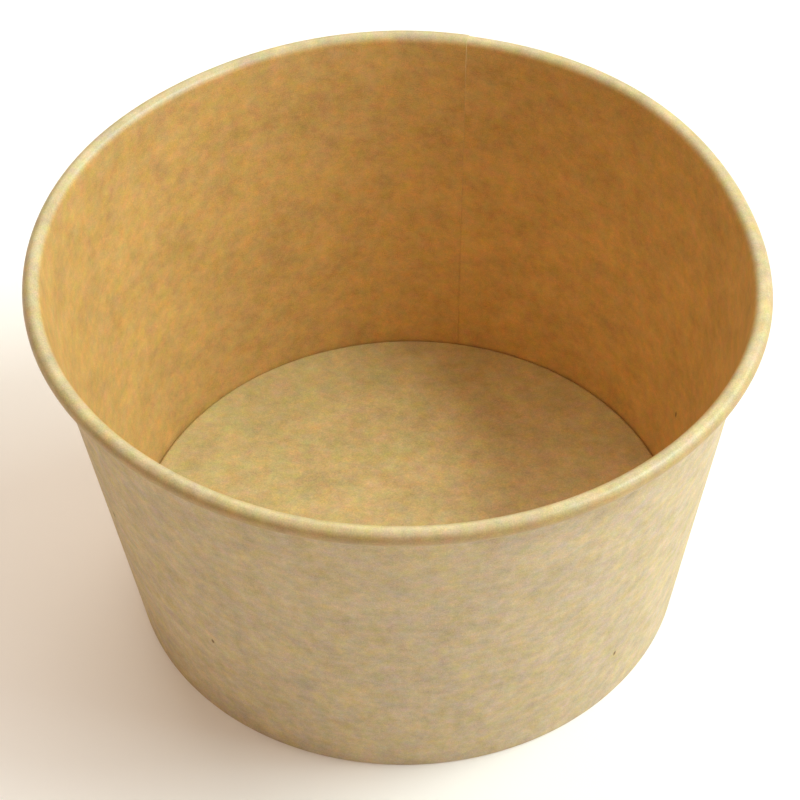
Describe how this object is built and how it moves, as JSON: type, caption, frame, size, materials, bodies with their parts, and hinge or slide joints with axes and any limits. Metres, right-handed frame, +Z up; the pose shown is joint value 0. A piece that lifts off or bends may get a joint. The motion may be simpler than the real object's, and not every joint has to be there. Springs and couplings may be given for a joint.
{
  "type": "kraft soup bowl",
  "caption": "Round kraft paperboard soup bowl: a lapped, tapering wall with a rolled rim, and a bottom held up in a hemmed foot. Holds hot food and takes a lid pressed over its rim.",
  "frame": {"origin": "centre of the foot, on the surface that the bowl stands on", "axes": "+Z up along the bowl's axis, out of its mouth; the lap's inner edge is 77.2 degrees anticlockwise from +X, seen from above"},
  "size_m": [0.116, 0.1158, 0.068],
  "materials": {
    "wall_board": "natural brown kraft board, matt outside, with a thin clear lining inside and over the roll",
    "bottom_board": "natural brown kraft board with a thin clear lining on the upper face"
  },
  "bodies": {
    "root": {"sidewall": "wall_board", "bottom_disc": "bottom_board"}
  },
  "joints": []
}
